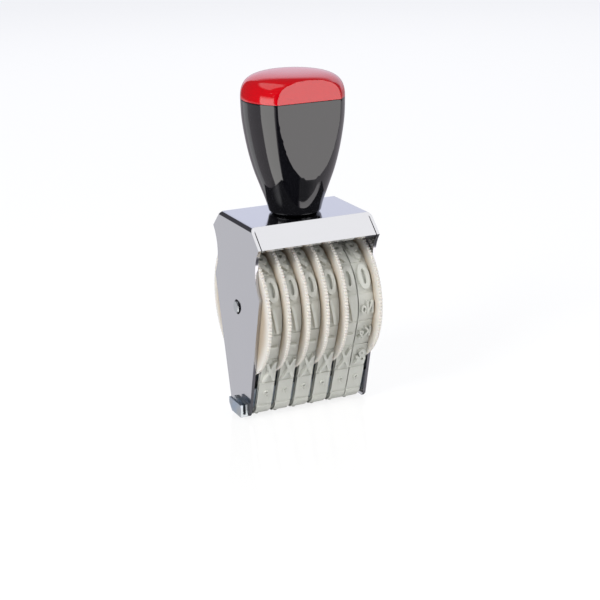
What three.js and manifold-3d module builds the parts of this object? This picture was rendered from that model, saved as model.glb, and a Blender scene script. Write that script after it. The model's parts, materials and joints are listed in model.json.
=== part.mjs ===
// Rotary numbering stamp: six rubber bands run round six hand-turned wheels inside a bent steel frame,
// with a screwed-on plastic handle above and a steel bridge that backs the bands at the printing face.
// Millimetres. X runs along the axle, -Y is the front, +Z is up, and z = 0 is the plane it stands on.

import * as THREE from "three";
import { mergeVertices } from "three/addons/utils/BufferGeometryUtils.js";
import Module from "manifold-3d";

// Frame: one bent steel sheet with a top plate, two cheeks and two sloping aprons.
const SHEET = 1.0;
const INNER_HALF_WIDTH = 20.5;
const BEND_RADIUS = 0.5;
const CHEEK_BOTTOM_Z = 1.5;
const FOOT_HALF_DEPTH = 7.6;
const FOOT_CORNER = 1.2;
const SCALLOP_LOW_Z = 44.7;
const SCALLOP_LOW_HALF_DEPTH = 18.4;
const SCALLOP_DEPTH = 3.0;
const SHOULDER_Z = 61.2;
const SHOULDER_HALF_DEPTH = 18.8;
const TOP_Z = 67.3;
const TOP_HALF_DEPTH = 12.3;
const APRON_SLIT = 0.3;

// Axle and wheels.
const AXLE_Z = 37.7;
const AXLE_RADIUS = 3.0;
const AXLE_END_PLAY = 0.2;
const JOURNAL_RADIUS = 2.1;
const JOURNAL_PROUD = 0.6;
const JOURNAL_CLEARANCE = 0.4;
const WHEEL_COUNT = 6;
const WHEEL_GAP = 0.1;
const WHEEL_SIDE_PLAY = 0.15;
const WHEEL_BORE_CLEARANCE = 0.1;
const HUB_WALL = 2.0;
const RIM_RADIUS = 23.0;
const RIM_THICKNESS = 1.15;
const RIM_BEVEL = 0.2;
const DRUM_RADIUS = 17.0;
const DRUM_WALL = 1.6;
const DRUM_RECESS = 2.5;

// Rubber bands: closed loops of cells, each cell a pad with raised type on it.
const CELL_COUNT = 15;
const BLANK_CELL = 1;
const BAND_THICKNESS = 1.95;
const BAND_NEUTRAL_DEPTH = 1.1;
const BAND_DRUM_CLEARANCE = 0.15;
const BAND_SIDE_CLEARANCE = 0.1;
const TYPE_RELIEF = 0.7;
const TYPE_MARGIN = 0.55;
const CELL_GROOVE = 0.5;
const CELL_GROOVE_DEPTH = 0.15;
const FOOT_BEND_RADIUS = 3.3;
const FOOT_FLAT_HALF = 3.6;
const CREASE_HALF_DEPTH = 5.2;
const CREASE_RISE = 1.2;

// Bridge: a steel channel inside the loops, with tongues folded up into hooks outside the cheeks.
const BRIDGE_SHEET = 1.0;
const BRIDGE_GAP = 0.1;
const BRIDGE_TOP_Z = 11.5;
const BRIDGE_END_PLAY = 0.1;
const HOOK_SHEET = 0.9;
const HOOK_WIDTH = 2.7;
const HOOK_TOP_Z = 5.8;
const HOOK_FRONT_Y = -6.6;
const HOOK_REAR_Y = 3.1;
const HOOK_CHAMFER = 2.2;
const TONGUE_HALF_WIDTH = 2.9;
const SLOT_CLEARANCE = 0.2;

// Handle: grip, cap, and the screw that holds the grip on the top plate.
const GRIP_FOOT_RADIUS = 7.6;
const GRIP_STATIONS = [
  [8.6, 0.9],
  [9.5, 4.2],
  [11.3, 9.2],
  [13.1, 14.2],
  [14.5, 19.2],
  [15.55, 24.2],
  [16.35, 29.2],
  [16.75, 33.2],
  [16.9, 38.2],
];
const FLAT_HALF_DEPTH = 12.75;
const CAP_HEIGHT = 8.4;
const CAP_SHOULDER_RISE = 7.4;
const CAP_CROWN_RADIUS = 12.4;
const SPIGOT_RADIUS = 9.0;
const SPIGOT_LENGTH = 3.0;
const SPIGOT_CLEARANCE = 0.15;
const SCREW_RADIUS = 2.5;
const SCREW_LENGTH = 19.0;
const SCREW_CLEARANCE = 0.1;
const SCREW_HEAD_RADIUS = 4.5;
const SCREW_HEAD_HEIGHT = 2.6;
const CROSS_WIDTH = 1.1;
const CROSS_LENGTH = 5.2;
const CROSS_DEPTH = 1.4;
const SHANK_OVERLAP = 1.0;
const WASHER_RADIUS = 6.0;
const WASHER_THICKNESS = 1.0;
const PLATE_HOLE_CLEARANCE = 0.3;
const INSERT_RADIUS = 4.5;
const INSERT_LENGTH = 14.0;
const INSERT_SETBACK = 1.0;
const INSERT_CLEARANCE = 0.1;

// Fineness of round shapes.
const WHEEL_SEGMENTS = 32;
const HANDLE_SEGMENTS = 36;
const SMALL_SEGMENTS = 20;
const ARC_STEP = Math.PI / 16;
const BEND_STEPS = 5;
const CROWN_STEPS = 8;
const MERGE_DISTANCE = 1e-4;
const CUT_OVERRUN = 1.0;

// Sizes that follow from those above.
const OUTER_HALF_WIDTH = INNER_HALF_WIDTH + SHEET;
const WHEEL_SPAN = 2 * (INNER_HALF_WIDTH - WHEEL_SIDE_PLAY);
const WHEEL_WIDTH = (WHEEL_SPAN - (WHEEL_COUNT - 1) * WHEEL_GAP) / WHEEL_COUNT;
const BAND_WIDTH = WHEEL_WIDTH - RIM_THICKNESS - 2 * BAND_SIDE_CLEARANCE;
const PAD_DRUM_RADIUS = DRUM_RADIUS + BAND_DRUM_CLEARANCE + BAND_THICKNESS;
const GRIP_Z = TOP_Z;
const JOINT_STATION = GRIP_STATIONS[GRIP_STATIONS.length - 1];
const CAP_Z = GRIP_Z + JOINT_STATION[1];
const CAP_RADIUS = JOINT_STATION[0];

const HALF_TURN = 180;
const AXIS_X = new THREE.Vector3(1, 0, 0);
const AXIS_Y = new THREE.Vector3(0, 1, 0);
const AXIS_Z = new THREE.Vector3(0, 0, 1);
const SIDE_PLANE = new THREE.Matrix4().makeBasis(AXIS_Y, AXIS_Z, AXIS_X);
const FRONT_PLANE = new THREE.Matrix4().makeBasis(AXIS_X, AXIS_Z, AXIS_Y.clone().negate());

const steel = new THREE.MeshStandardMaterial({ color: 0xc9cacd, roughness: 0.12, metalness: 1 });
const zinc = new THREE.MeshStandardMaterial({ color: 0xb4bfc9, roughness: 0.3, metalness: 1 });
const brass = new THREE.MeshStandardMaterial({ color: 0xb69a5c, roughness: 0.35, metalness: 1 });
const ivory = new THREE.MeshStandardMaterial({ color: 0xe4dfd5, roughness: 0.45, metalness: 0 });
const rubber = new THREE.MeshStandardMaterial({ color: 0xc3c5bc, roughness: 0.7, metalness: 0 });
const black = new THREE.MeshStandardMaterial({ color: 0x101012, roughness: 0.1, metalness: 0 });
const red = new THREE.MeshStandardMaterial({ color: 0xc8000f, roughness: 0.15, metalness: 0 });

const wasm = await Module();
wasm.setup();

function solid(geometry) {
  const bare = geometry.clone();
  bare.deleteAttribute("normal");
  bare.deleteAttribute("uv");
  const merged = mergeVertices(bare, MERGE_DISTANCE);
  return new wasm.Manifold(
    new wasm.Mesh({
      numProp: 3,
      vertProperties: new Float32Array(merged.attributes.position.array),
      triVerts: new Uint32Array(merged.index.array),
    }),
  );
}

function surface(body) {
  const mesh = body.getMesh();
  const geometry = new THREE.BufferGeometry();
  geometry.setAttribute("position", new THREE.BufferAttribute(mesh.vertProperties, 3));
  geometry.setIndex(new THREE.BufferAttribute(mesh.triVerts, 1));
  geometry.computeVertexNormals();
  return geometry;
}

function box(low, high) {
  const size = high.map((value, axis) => value - low[axis]);
  const geometry = new THREE.BoxGeometry(...size);
  geometry.translate(...low.map((value, axis) => value + size[axis] / 2));
  return solid(geometry);
}

// A rod along an axis name, from one place on that axis to another, centred at the other two.
function rod(axis, radius, from, to, centre = [0, 0]) {
  const geometry = new THREE.CylinderGeometry(radius, radius, to - from, SMALL_SEGMENTS);
  if (axis === "x") {
    geometry.rotateZ(-Math.PI / 2);
    geometry.translate((from + to) / 2, centre[0], centre[1]);
  } else {
    geometry.rotateX(Math.PI / 2);
    geometry.translate(centre[0], centre[1], (from + to) / 2);
  }
  return solid(geometry);
}

// A side outline in Y and Z, extruded along X from one place to another.
function sideExtrusion(outline, from, to) {
  const shape = new THREE.Shape(outline);
  const geometry = new THREE.ExtrudeGeometry(shape, { depth: to - from, bevelEnabled: false });
  geometry.translate(0, 0, from);
  geometry.applyMatrix4(SIDE_PLANE);
  return solid(geometry);
}

// A closed loop along X between an outer and an inner side outline.
function sideLoop(outer, inner, from, to) {
  const hollow = sideExtrusion(inner, from - CUT_OVERRUN, to + CUT_OVERRUN);
  return sideExtrusion(outer, from, to).subtract(hollow);
}

// A solid of revolution about Z from points of radius and height.
function turned(points) {
  const geometry = new THREE.LatheGeometry(points, HANDLE_SEGMENTS);
  geometry.rotateX(Math.PI / 2);
  return solid(geometry);
}

function mirroredX(body) {
  return body.mirror([1, 0, 0]);
}

function piece(name, body, material) {
  const mesh = new THREE.Mesh(surface(body), material);
  mesh.name = name;
  return mesh;
}

// The circles that a band runs round, clockwise from the front of the foot, at the face of its pads.
function bandCircles() {
  const low = TYPE_RELIEF + FOOT_BEND_RADIUS;
  const bottom = { y: FOOT_FLAT_HALF, z: low, r: FOOT_BEND_RADIUS };
  const crease = { y: CREASE_HALF_DEPTH, z: low + CREASE_RISE, r: FOOT_BEND_RADIUS };
  const drum = { y: 0, z: AXLE_Z, r: PAD_DRUM_RADIUS };
  const front = (circle) => ({ ...circle, y: -circle.y });
  return [front(bottom), front(crease), drum, crease, bottom];
}

// Points of a belt pulled round circles, clockwise, standing off the circles by grow.
function beltOutline(circles, grow) {
  const count = circles.length;
  const normals = circles.map((circle, index) => {
    const next = circles[(index + 1) % count];
    const along = new THREE.Vector2(next.y - circle.y, next.z - circle.z);
    const distance = along.length();
    along.divideScalar(distance);
    const lean = (circle.r - next.r) / distance;
    const away = Math.sqrt(1 - lean * lean);
    return Math.atan2(along.y * lean + along.x * away, along.x * lean - along.y * away);
  });
  const points = [];
  circles.forEach((circle, index) => {
    const start = normals[(index + count - 1) % count];
    let sweep = start - normals[index];
    if (sweep < 0) sweep += 2 * Math.PI;
    const steps = Math.max(2, Math.ceil(sweep / ARC_STEP));
    for (let step = 0; step <= steps; step++) {
      const angle = start - (sweep * step) / steps;
      const radius = circle.r + grow;
      points.push(
        new THREE.Vector2(circle.y + radius * Math.cos(angle), circle.z + radius * Math.sin(angle)),
      );
    }
  });
  return points;
}

// Place and outward angle of each cell's border on the pad face, evenly spaced along the neutral line.
function cellBorders() {
  const circles = bandCircles();
  const neutral = beltOutline(circles, -BAND_NEUTRAL_DEPTH);
  const pad = beltOutline(circles, 0);
  const middle = (points) => points[0].clone().add(points[points.length - 1]).multiplyScalar(0.5);
  neutral.unshift(middle(neutral));
  pad.unshift(middle(pad));
  neutral.push(neutral[0]);
  pad.push(pad[0]);
  const lengths = neutral.slice(1).map((point, index) => point.distanceTo(neutral[index]));
  const total = lengths.reduce((sum, length) => sum + length, 0);
  return Array.from({ length: CELL_COUNT }, (_, cell) => {
    let left = (total * cell) / CELL_COUNT;
    let index = 0;
    while (left > lengths[index]) {
      left -= lengths[index];
      index += 1;
    }
    const place = pad[index].clone().lerp(pad[index + 1], left / lengths[index]);
    const along = pad[index + 1].clone().sub(pad[index]);
    return { place, angle: Math.atan2(along.x, -along.y) };
  });
}

// The frame's side outline: tapered legs, thumb scallops and sloping shoulders.
function cheekOutline() {
  const low = new THREE.Vector2(SCALLOP_LOW_HALF_DEPTH, SCALLOP_LOW_Z);
  const high = new THREE.Vector2(SHOULDER_HALF_DEPTH, SHOULDER_Z);
  const chord = high.clone().sub(low);
  const radius = (chord.lengthSq() / 4 + SCALLOP_DEPTH ** 2) / (2 * SCALLOP_DEPTH);
  const outward = new THREE.Vector2(chord.y, -chord.x).normalize();
  const centre = low
    .clone()
    .add(high)
    .multiplyScalar(0.5)
    .addScaledVector(outward, radius - SCALLOP_DEPTH);
  const start = Math.atan2(low.y - centre.y, low.x - centre.x);
  const end = Math.atan2(high.y - centre.y, high.x - centre.x);
  const sweep = (start - end + 2 * Math.PI) % (2 * Math.PI);
  const steps = Math.ceil(sweep / ARC_STEP);
  const side = [
    new THREE.Vector2(FOOT_HALF_DEPTH - FOOT_CORNER, CHEEK_BOTTOM_Z),
    new THREE.Vector2(FOOT_HALF_DEPTH, CHEEK_BOTTOM_Z + FOOT_CORNER),
  ];
  for (let step = 0; step <= steps; step++) {
    const angle = start - (sweep * step) / steps;
    side.push(
      new THREE.Vector2(centre.x + radius * Math.cos(angle), centre.y + radius * Math.sin(angle)),
    );
  }
  side.push(new THREE.Vector2(TOP_HALF_DEPTH, TOP_Z));
  const other = side.map((point) => new THREE.Vector2(-point.x, point.y)).reverse();
  return [...side, ...other];
}

// The frame's front section: the sheet's top and two cheeks with bent corners, as a closed strip.
function bentStrip() {
  const outer = [];
  const inner = [];
  for (const side of [1, -1]) {
    for (let step = 0; step <= BEND_STEPS; step++) {
      const share = side > 0 ? step / BEND_STEPS : 1 - step / BEND_STEPS;
      const angle = (Math.PI / 2) * share;
      const turn = new THREE.Vector2(side * Math.cos(angle), Math.sin(angle));
      const centre = new THREE.Vector2(
        side * (INNER_HALF_WIDTH - BEND_RADIUS),
        TOP_Z - SHEET - BEND_RADIUS,
      );
      outer.push(centre.clone().addScaledVector(turn, BEND_RADIUS + SHEET));
      inner.push(centre.clone().addScaledVector(turn, BEND_RADIUS));
    }
  }
  const foot = (x) => new THREE.Vector2(x, CHEEK_BOTTOM_Z - CUT_OVERRUN);
  return [
    foot(OUTER_HALF_WIDTH),
    ...outer,
    foot(-OUTER_HALF_WIDTH),
    foot(-INNER_HALF_WIDTH),
    ...inner.reverse(),
    foot(INNER_HALF_WIDTH),
  ];
}

// One sloping apron, hanging from the top plate between the cheeks. It is the front one for side -1.
function apron(side) {
  const slope = new THREE.Vector2(SHOULDER_HALF_DEPTH - TOP_HALF_DEPTH, SHOULDER_Z - TOP_Z).normalize();
  const inward = new THREE.Vector2(slope.y, -slope.x).multiplyScalar(SHEET);
  const top = new THREE.Vector2(TOP_HALF_DEPTH, TOP_Z);
  const tip = new THREE.Vector2(SHOULDER_HALF_DEPTH, SHOULDER_Z);
  const outline = [
    top,
    tip,
    tip.clone().add(inward),
    new THREE.Vector2(TOP_HALF_DEPTH - SHEET, TOP_Z - SHEET),
    new THREE.Vector2(TOP_HALF_DEPTH - SHEET, TOP_Z),
  ].map((point) => new THREE.Vector2(side * point.x, point.y));
  const half = INNER_HALF_WIDTH - APRON_SLIT;
  return sideExtrusion(outline, -half, half);
}

function frame() {
  const reach = SHOULDER_HALF_DEPTH + CUT_OVERRUN;
  const strip = new THREE.ExtrudeGeometry(new THREE.Shape(bentStrip()), {
    depth: 2 * reach,
    bevelEnabled: false,
  });
  strip.translate(0, 0, -reach);
  strip.applyMatrix4(FRONT_PLANE);
  const wide = OUTER_HALF_WIDTH + CUT_OVERRUN;
  let body = solid(strip).intersect(sideExtrusion(cheekOutline(), -wide, wide));
  body = body.add(apron(-1)).add(apron(1));
  body = body.subtract(rod("x", JOURNAL_RADIUS + JOURNAL_CLEARANCE, -wide, wide, [0, AXLE_Z]));
  const hole = SCREW_RADIUS + PLATE_HOLE_CLEARANCE;
  body = body.subtract(rod("z", hole, TOP_Z - SHEET - CUT_OVERRUN, TOP_Z + CUT_OVERRUN));
  const low = tongueLow() - SLOT_CLEARANCE;
  const high = tongueLow() + BRIDGE_SHEET + SLOT_CLEARANCE;
  const half = TONGUE_HALF_WIDTH + SLOT_CLEARANCE;
  return body.subtract(box([-wide, -half, low], [wide, half, high]));
}

function axle() {
  const shoulder = INNER_HALF_WIDTH - AXLE_END_PLAY;
  const end = OUTER_HALF_WIDTH + JOURNAL_PROUD;
  return rod("x", AXLE_RADIUS, -shoulder, shoulder, [0, AXLE_Z]).add(
    rod("x", JOURNAL_RADIUS, -end, end, [0, AXLE_Z]),
  );
}

// A wheel is a thin finger rim and a drum that carries its band, with a recess between drum and hub.
// The rim is at its low X side; the last wheel is turned round, so that its rim is at the far end.
function wheel() {
  const bore = AXLE_RADIUS + WHEEL_BORE_CLEARANCE;
  const hub = bore + HUB_WALL;
  const profile = [
    [bore, 0],
    [RIM_RADIUS - RIM_BEVEL, 0],
    [RIM_RADIUS, RIM_BEVEL],
    [RIM_RADIUS, RIM_THICKNESS - RIM_BEVEL],
    [RIM_RADIUS - RIM_BEVEL, RIM_THICKNESS],
    [DRUM_RADIUS, RIM_THICKNESS],
    [DRUM_RADIUS, WHEEL_WIDTH],
    [DRUM_RADIUS - DRUM_WALL, WHEEL_WIDTH],
    [DRUM_RADIUS - DRUM_WALL, WHEEL_WIDTH - DRUM_RECESS],
    [hub, WHEEL_WIDTH - DRUM_RECESS],
    [hub, WHEEL_WIDTH],
    [bore, WHEEL_WIDTH],
    [bore, 0],
  ].map(([radius, place]) => new THREE.Vector2(radius, place));
  const geometry = new THREE.LatheGeometry(profile, WHEEL_SEGMENTS);
  geometry.rotateZ(-Math.PI / 2);
  return solid(geometry);
}

function wheelLowX(index) {
  return -WHEEL_SPAN / 2 + index * (WHEEL_WIDTH + WHEEL_GAP);
}

function bandLowX(index) {
  const past = index === WHEEL_COUNT - 1 ? 0 : RIM_THICKNESS;
  return wheelLowX(index) + past + BAND_SIDE_CLEARANCE;
}

// A band: the loop, and a raised block for the type on each cell but the blank one.
function band() {
  const circles = bandCircles();
  const pad = beltOutline(circles, 0);
  const inner = beltOutline(circles, -BAND_THICKNESS);
  const under = beltOutline(circles, -BAND_NEUTRAL_DEPTH);
  const over = beltOutline(circles, TYPE_RELIEF);
  const loop = sideLoop(pad, inner, 0, BAND_WIDTH);
  const type = sideLoop(over, under, TYPE_MARGIN, BAND_WIDTH - TYPE_MARGIN);
  const borders = cellBorders();
  const height = TYPE_RELIEF + CUT_OVERRUN;
  let body = loop.add(type);
  for (const border of borders) {
    const cutter = new THREE.BoxGeometry(BAND_WIDTH + 2 * CUT_OVERRUN, CELL_GROOVE, height);
    cutter.translate(BAND_WIDTH / 2, 0, height / 2 - CELL_GROOVE_DEPTH);
    cutter.rotateX(border.angle);
    cutter.translate(0, border.place.x, border.place.y);
    body = body.subtract(solid(cutter));
  }
  return body.subtract(blankCellCut(borders, height));
}

// Clears the type block from the blank cell, which lies on the straight run above the front crease.
function blankCellCut(borders, height) {
  const low = borders[BLANK_CELL].place;
  const high = borders[BLANK_CELL + 1].place;
  const along = high.clone().sub(low);
  const outward = new THREE.Vector2(-along.y, along.x).normalize();
  const lift = outward.clone().multiplyScalar(height);
  const outline = [low, high, high.clone().add(lift), low.clone().add(lift)];
  return sideExtrusion(outline, -CUT_OVERRUN, BAND_WIDTH + CUT_OVERRUN);
}

function tongueLow() {
  return TYPE_RELIEF + BAND_THICKNESS + BRIDGE_GAP;
}

// A hook past the high X cheek: a tongue through its slot, folded down the cheek and up again.
function hook() {
  const near = OUTER_HALF_WIDTH;
  const far = near + HOOK_WIDTH;
  const cheekSide = box([near, HOOK_FRONT_Y, CHEEK_BOTTOM_Z], [far, HOOK_REAR_Y, HOOK_TOP_Z]);
  const gapLow = CHEEK_BOTTOM_Z + HOOK_SHEET;
  const gap = box(
    [near + HOOK_SHEET, HOOK_FRONT_Y - CUT_OVERRUN, gapLow],
    [far - HOOK_SHEET, HOOK_REAR_Y + CUT_OVERRUN, HOOK_TOP_Z + CUT_OVERRUN],
  );
  const corner = [
    [HOOK_REAR_Y + CUT_OVERRUN, CHEEK_BOTTOM_Z - CUT_OVERRUN],
    [HOOK_REAR_Y + CUT_OVERRUN, CHEEK_BOTTOM_Z + HOOK_CHAMFER + CUT_OVERRUN],
    [HOOK_REAR_Y - HOOK_CHAMFER - CUT_OVERRUN, CHEEK_BOTTOM_Z - CUT_OVERRUN],
  ].map(([y, z]) => new THREE.Vector2(y, z));
  const chamfer = sideExtrusion(corner, near - CUT_OVERRUN, far + CUT_OVERRUN);
  const low = tongueLow();
  const tongue = box(
    [INNER_HALF_WIDTH - CUT_OVERRUN, -TONGUE_HALF_WIDTH, low],
    [near + HOOK_SHEET, TONGUE_HALF_WIDTH, low + BRIDGE_SHEET],
  );
  return cheekSide.subtract(gap).subtract(chamfer).add(tongue);
}

// The low X hook reaches to the front. The other is the same hook turned half round Z, so it is rearward.
function footBridge() {
  const circles = bandCircles();
  const outside = beltOutline(circles, -BAND_THICKNESS - BRIDGE_GAP);
  const inside = beltOutline(circles, -BAND_THICKNESS - BRIDGE_GAP - BRIDGE_SHEET);
  const half = INNER_HALF_WIDTH - BRIDGE_END_PLAY;
  const wide = half + CUT_OVERRUN;
  const deep = PAD_DRUM_RADIUS;
  const above = box([-wide, -deep, BRIDGE_TOP_Z], [wide, deep, AXLE_Z + deep]);
  const channel = sideLoop(outside, inside, -half, half).subtract(above);
  const lowHook = mirroredX(hook());
  return channel.add(lowHook).add(lowHook.rotate([0, 0, HALF_TURN]));
}

// The handle's outline before its flats are cut: a spline up the grip's side.
function gripSide() {
  const stations = GRIP_STATIONS.map(([radius, rise]) => new THREE.Vector2(radius, GRIP_Z + rise));
  return new THREE.SplineCurve(stations).getPoints(GRIP_STATIONS.length - 1);
}

function flatSlab(low, high) {
  const wide = CAP_RADIUS + CUT_OVERRUN;
  return box([-wide, -FLAT_HALF_DEPTH, low], [wide, FLAT_HALF_DEPTH, high]);
}

function grip() {
  const side = gripSide();
  const socket = SPIGOT_RADIUS + SPIGOT_CLEARANCE;
  const floor = CAP_Z - SPIGOT_LENGTH - SPIGOT_CLEARANCE;
  const profile = [
    new THREE.Vector2(0, GRIP_Z),
    new THREE.Vector2(GRIP_FOOT_RADIUS, GRIP_Z),
    ...side,
    new THREE.Vector2(socket, CAP_Z),
    new THREE.Vector2(socket, floor),
    new THREE.Vector2(0, floor),
  ];
  const bore = INSERT_RADIUS + INSERT_CLEARANCE;
  const depth = Math.max(INSERT_SETBACK + INSERT_LENGTH, SCREW_LENGTH) + CUT_OVERRUN;
  return turned(profile)
    .intersect(flatSlab(GRIP_Z - CUT_OVERRUN, CAP_Z + CUT_OVERRUN))
    .subtract(rod("z", bore, GRIP_Z - CUT_OVERRUN, GRIP_Z + depth));
}

function cap() {
  const top = CAP_Z + CAP_HEIGHT;
  const crown = new THREE.CubicBezierCurve(
    new THREE.Vector2(CAP_RADIUS, CAP_Z),
    new THREE.Vector2(CAP_RADIUS, CAP_Z + CAP_SHOULDER_RISE),
    new THREE.Vector2(CAP_CROWN_RADIUS, top),
    new THREE.Vector2(0, top),
  );
  const profile = [
    new THREE.Vector2(0, CAP_Z - SPIGOT_LENGTH),
    new THREE.Vector2(SPIGOT_RADIUS, CAP_Z - SPIGOT_LENGTH),
    new THREE.Vector2(SPIGOT_RADIUS, CAP_Z),
    ...crown.getPoints(CROWN_STEPS),
  ];
  return turned(profile).intersect(
    flatSlab(CAP_Z - SPIGOT_LENGTH - CUT_OVERRUN, top + CUT_OVERRUN),
  );
}

function washer() {
  const top = TOP_Z - SHEET;
  const hole = SCREW_RADIUS + SCREW_CLEARANCE;
  return rod("z", WASHER_RADIUS, top - WASHER_THICKNESS, top).subtract(
    rod("z", hole, top - WASHER_THICKNESS - CUT_OVERRUN, top + CUT_OVERRUN),
  );
}

function screw() {
  const seat = TOP_Z - SHEET - WASHER_THICKNESS;
  const end = TOP_Z + SCREW_LENGTH;
  const head = rod("z", SCREW_HEAD_RADIUS, seat - SCREW_HEAD_HEIGHT, seat);
  const low = seat - SCREW_HEAD_HEIGHT - CUT_OVERRUN;
  const high = seat - SCREW_HEAD_HEIGHT + CROSS_DEPTH;
  const long = CROSS_LENGTH / 2;
  const thin = CROSS_WIDTH / 2;
  const cross = box([-long, -thin, low], [long, thin, high]).add(
    box([-thin, -long, low], [thin, long, high]),
  );
  return head.add(rod("z", SCREW_RADIUS, seat - SHANK_OVERLAP, end)).subtract(cross);
}

function insert() {
  const low = TOP_Z + INSERT_SETBACK;
  const high = low + INSERT_LENGTH;
  return rod("z", INSERT_RADIUS, low, high).subtract(
    rod("z", SCREW_RADIUS + SCREW_CLEARANCE, low - CUT_OVERRUN, high + CUT_OVERRUN),
  );
}

const stamp = new THREE.Group();
stamp.add(piece("frame", frame(), steel));
stamp.add(piece("axle", axle(), steel));
stamp.add(piece("foot_bridge", footBridge(), zinc));
stamp.add(piece("handle_grip", grip(), black));
stamp.add(piece("handle_cap", cap(), red));
stamp.add(piece("handle_screw", screw(), zinc));
stamp.add(piece("handle_washer", washer(), zinc));
stamp.add(piece("handle_insert", insert(), brass));

for (let index = 0; index < WHEEL_COUNT; index++) {
  const last = index === WHEEL_COUNT - 1;
  const number = index + 1;
  const wheelPiece = piece("number_wheel_" + number, last ? mirroredX(wheel()) : wheel(), ivory);
  wheelPiece.position.set(wheelLowX(index) + (last ? WHEEL_WIDTH : 0), 0, AXLE_Z);
  stamp.add(wheelPiece);
  const bandPiece = piece("number_band_" + number, band(), rubber);
  bandPiece.position.set(bandLowX(index), 0, 0);
  stamp.add(bandPiece);
}

export default stamp;
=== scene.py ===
"""A rotary numbering stamp: six rubber bands on six finger wheels, in a chromed frame under a handle.

Metres. X runs along the axle, -Y is the front and +Z is up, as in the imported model.
"""

import json
import math
from contextlib import contextmanager

import bmesh
import bpy
from mathutils import Matrix, Vector


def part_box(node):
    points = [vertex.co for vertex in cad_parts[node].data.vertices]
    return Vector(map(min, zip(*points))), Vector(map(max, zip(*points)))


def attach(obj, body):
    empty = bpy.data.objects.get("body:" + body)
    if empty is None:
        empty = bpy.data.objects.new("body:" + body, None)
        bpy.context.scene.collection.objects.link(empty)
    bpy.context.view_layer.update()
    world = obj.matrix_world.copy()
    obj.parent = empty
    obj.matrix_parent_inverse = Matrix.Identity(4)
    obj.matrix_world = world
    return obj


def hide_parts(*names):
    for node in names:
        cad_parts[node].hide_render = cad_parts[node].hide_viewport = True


bl_info = {
    "name": "Numbering stamp",
    "version": (1, 0, 0),
    "blender": (4, 5, 0),
    "location": "3D View > Sidebar > Stamp",
    "description": "Builds a rotary numbering stamp round its packed frame",
    "category": "Object",
}

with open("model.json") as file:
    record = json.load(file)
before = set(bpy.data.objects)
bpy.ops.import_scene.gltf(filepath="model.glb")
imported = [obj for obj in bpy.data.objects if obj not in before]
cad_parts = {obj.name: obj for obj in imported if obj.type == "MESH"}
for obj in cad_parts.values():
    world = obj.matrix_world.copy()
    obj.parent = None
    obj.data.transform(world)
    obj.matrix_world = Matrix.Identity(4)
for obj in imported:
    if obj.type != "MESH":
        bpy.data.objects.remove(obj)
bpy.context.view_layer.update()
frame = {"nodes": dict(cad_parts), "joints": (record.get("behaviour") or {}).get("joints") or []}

MM = 0.001
FULL_TURN = 2 * math.pi
WELD = 1e-6
JOINTS = {joint["child"]: Vector(joint["pos_m"]) for joint in frame["joints"]}
WHEEL_COUNT = len(JOINTS)
AXLE_Z = JOINTS["wheel_1"].z
TOP_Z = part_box("frame")[1].z
CAP_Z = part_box("handle_grip")[1].z
PEAK_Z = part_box("handle_cap")[1].z
HANDLE_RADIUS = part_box("handle_cap")[1].x

# Sizes that several pieces share.
SHEET = 1.0 * MM
SOFT_EDGE = 0.2 * MM
SCREW_HOLE = 2.6 * MM
JOURNAL = 2.1 * MM
AXLE_SHOULDER = 20.3 * MM
INSERT_CLEARANCE = 0.1 * MM
SPIGOT_CLEARANCE = 0.15 * MM
STEPS_PER_TOOTH = 6
HANDLE_STEPS = 128
SMALL_STEPS = 64
CROWN_STEPS = 40

# The handle's side: radius and height above the frame's top plate.
GRIP_FOOT = (7.6 * MM, 0.0)
GRIP_SIDE = [
    (8.6 * MM, 0.9 * MM),
    (9.5 * MM, 4.2 * MM),
    (11.3 * MM, 9.2 * MM),
    (13.1 * MM, 14.2 * MM),
    (14.5 * MM, 19.2 * MM),
    (15.55 * MM, 24.2 * MM),
    (16.35 * MM, 29.2 * MM),
    (16.75 * MM, 33.2 * MM),
    (HANDLE_RADIUS, CAP_Z - TOP_Z),
]

# What each cell of a band prints, from the middle of the foot up the front and over the wheel.
COMMON_CELLS = [".", "size", "X", "-", "/", "0", "9", "8", "7", "6", "5", "4", "3", "2", "1"]
LAST_CELLS = [".", "size", "&", "Kg", "No"] + COMMON_CELLS[5:]


# Sizes and colours that a user would change.


def length(name, description, default):
    """A length property, in metres."""
    return bpy.props.FloatProperty(
        name=name, description=description, default=default, unit="LENGTH", precision=5
    )


def colour(name, description, red, green, blue):
    """A colour property from the three display values that a colour picker shows, from 0 to 255."""
    return bpy.props.FloatVectorProperty(
        name=name,
        description=description,
        default=[linear(value / 255) for value in (red, green, blue)],
        size=3,
        min=0.0,
        max=1.0,
        subtype="COLOR",
    )


def linear(value):
    """A display value from 0 to 1 as the light that it stands for."""
    return value / 12.92 if value <= 0.04045 else ((value + 0.055) / 1.055) ** 2.4


class StampWheelSizes(bpy.types.PropertyGroup):
    """Sizes of a finger wheel and the drum that carries its band."""

    rim_thickness: length("Rim thickness", "Width of the finger rim", 1.15 * MM)
    rim_corner: length("Rim corner", "Rounding of the rim's two edges", 0.22 * MM)
    tooth_depth: length("Tooth depth", "Depth of the grooves between the teeth", 0.5 * MM)
    tooth_count: bpy.props.IntProperty(
        name="Teeth", description="Teeth round the rim", default=128, min=12
    )
    drum_radius: length("Drum radius", "Outside of the drum under the band", 17.0 * MM)
    drum_wall: length("Drum wall", "Wall of the drum round its recess", 1.6 * MM)
    recess: length("Recess", "Depth of the recess in the open side", 2.5 * MM)
    bore: length("Bore radius", "Hole that turns on the axle", 3.1 * MM)
    hub_wall: length("Hub wall", "Wall of the hub round the bore", 2.0 * MM)


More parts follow.
